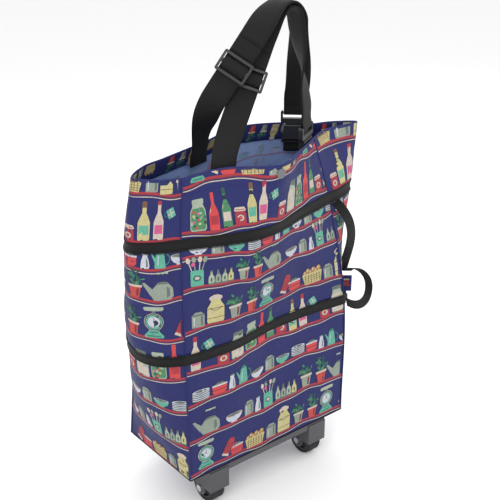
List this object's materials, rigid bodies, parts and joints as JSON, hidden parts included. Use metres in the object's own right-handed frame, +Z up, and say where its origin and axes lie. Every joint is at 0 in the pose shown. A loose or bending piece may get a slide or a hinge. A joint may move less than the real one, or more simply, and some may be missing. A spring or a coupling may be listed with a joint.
{
  "type": "shopping trolley bag",
  "caption": "Folding shopping bag on two wheels with a fold-away middle section, zip halves and adjustable webbing handles.",
  "frame": {"origin": "on the ground below the middle of the bounding box", "axes": "+X to the bag's right, +Y from the front panel to the back panel, +Z up towards the handles"},
  "size_m": [0.4803, 0.2265, 0.8361],
  "materials": {
    "print": "matte",
    "webbing": "matte",
    "zip_tape": "matte",
    "carrier": "matte",
    "acetal": "satin",
    "tyre": "matte",
    "hub": "matte",
    "steel": "polished",
    "board": "matte",
    "stud": "satin"
  },
  "bodies": {
    "base": {"lower_front_panel": "print", "lower_right_panel": "print", "lower_back_panel": "print", "lower_left_panel": "print", "middle_front_panel": "print", "middle_right_panel": "print", "middle_back_panel": "print", "middle_left_panel": "print", "zip_tape_lower": "zip_tape", "zip_coil_lower": "acetal", "bottom_panel": "print", "base_board": "board", "carrier_screws": "steel", "wheel_carrier": "carrier", "wheel_housing_left": "carrier", "wheel_housing_right": "carrier", "axle_left": "steel", "axle_right": "steel", "axle_caps": "steel", "zip_tail_upper": "zip_tape", "zip_tail_lower": "zip_tape", "zip_end_tab": "print", "zip_stub": "zip_tape", "zip_slider": "acetal"},
    "wheel_left": {"wheel_hub_left": "hub", "tyre_left": "tyre"},
    "wheel_right": {"wheel_hub_right": "hub", "tyre_right": "tyre"},
    "upper_bag": {"upper_front_panel": "print", "upper_right_panel": "print", "upper_back_panel": "print", "upper_left_panel": "print", "hem_facing": "print", "zip_tape_upper": "zip_tape", "zip_coil_upper": "acetal", "stud_cap_front": "stud", "stud_cap_back": "stud", "stud_ball_front": "stud", "stud_socket_back": "stud", "buckle_fork_front": "acetal", "buckle_fork_back": "acetal", "buckle_socket_front": "acetal", "buckle_socket_back": "acetal", "handle_roots": "webbing", "socket_tails": "webbing", "handle_front_loop": "webbing", "handle_back_loop": "webbing"},
    "handle_front": {"handle_front_inner_ply": "webbing", "handle_front_outer_ply": "webbing"},
    "handle_back": {"handle_back_inner_ply": "webbing", "handle_back_outer_ply": "webbing"},
    "adjuster_front": {"adjuster_front": "acetal", "adjuster_webbing_front": "webbing"},
    "adjuster_back": {"adjuster_back": "acetal", "adjuster_webbing_back": "webbing"},
    "zip_puller": {"zip_puller": "acetal"},
    "prong_front_left": {"buckle_prong_front_left": "acetal"},
    "prong_front_right": {"buckle_prong_front_right": "acetal"},
    "prong_back_left": {"buckle_prong_back_left": "acetal"},
    "prong_back_right": {"buckle_prong_back_right": "acetal"}
  },
  "joints": [
    {"name": "wheel_left_spin", "type": "hinge", "parent": "base", "child": "wheel_left", "pos_m": [-0.111, -0.036, 0.028], "axis": [1, 0, 0], "continuous": true},
    {"name": "wheel_right_spin", "type": "hinge", "parent": "base", "child": "wheel_right", "pos_m": [0.111, -0.036, 0.028], "axis": [1, 0, 0], "continuous": true},
    {"name": "collapse", "type": "slide", "parent": "base", "child": "upper_bag", "axis": [0, 0, -1], "range_m": [0, 0.1746], "deforming": ["middle_front_panel", "middle_right_panel", "middle_back_panel", "middle_left_panel", "zip_tail_upper"]},
    {"name": "handle_front_fold", "type": "hinge", "parent": "upper_bag", "child": "handle_front", "pos_m": [-0.082, -0.054, 0.65], "axis": [-0.9911, -0.0641, -0.1166], "range_deg": [0, 60]},
    {"name": "adjuster_front_slide", "type": "slide", "parent": "handle_front", "child": "adjuster_front", "axis": [-0.5112, -0.1136, -0.8519], "range_m": [0, 0.03]},
    {"name": "prong_front_left_press", "type": "hinge", "parent": "upper_bag", "child": "prong_front_left", "pos_m": [0.07763, -0.04977, 0.6115], "axis": [0.4907, -0.8713, 0], "range_deg": [0, 6], "stiffness_Nm_per_rad": 0.6},
    {"name": "prong_front_right_press", "type": "hinge", "parent": "upper_bag", "child": "prong_front_right", "pos_m": [0.09637, -0.03923, 0.6115], "axis": [-0.4907, 0.8713, 0], "range_deg": [0, 6], "stiffness_Nm_per_rad": 0.6},
    {"name": "handle_back_fold", "type": "hinge", "parent": "upper_bag", "child": "handle_back", "pos_m": [-0.065, 0.03, 0.653], "axis": [-0.9942, 0.0585, -0.0904], "range_deg": [0, 60]},
    {"name": "adjuster_back_slide", "type": "slide", "parent": "handle_back", "child": "adjuster_back", "axis": [-0.557, 0.1823, -0.8102], "range_m": [0, 0.03]},
    {"name": "prong_back_left_press", "type": "hinge", "parent": "upper_bag", "child": "prong_back_left", "pos_m": [0.11813, 0.03133, 0.6115], "axis": [-0.6816, -0.7317, 0], "range_deg": [0, 6], "stiffness_Nm_per_rad": 0.6},
    {"name": "prong_back_right_press", "type": "hinge", "parent": "upper_bag", "child": "prong_back_right", "pos_m": [0.13387, 0.01667, 0.6115], "axis": [0.6816, 0.7317, 0], "range_deg": [0, 6], "stiffness_Nm_per_rad": 0.6},
    {"name": "zip_puller_swing", "type": "hinge", "parent": "base", "child": "zip_puller", "pos_m": [0.21261, -0.0152, 0.2745], "axis": [-0.7779, 0.6283, 0], "range_deg": [0, 110]}
  ],
  "couplings": [
    {"joint": "handle_front_fold", "follows": "handle_back_fold", "ratio": 1},
    {"joint": "prong_front_right_press", "follows": "prong_front_left_press", "ratio": 1},
    {"joint": "prong_back_right_press", "follows": "prong_back_left_press", "ratio": 1}
  ]
}
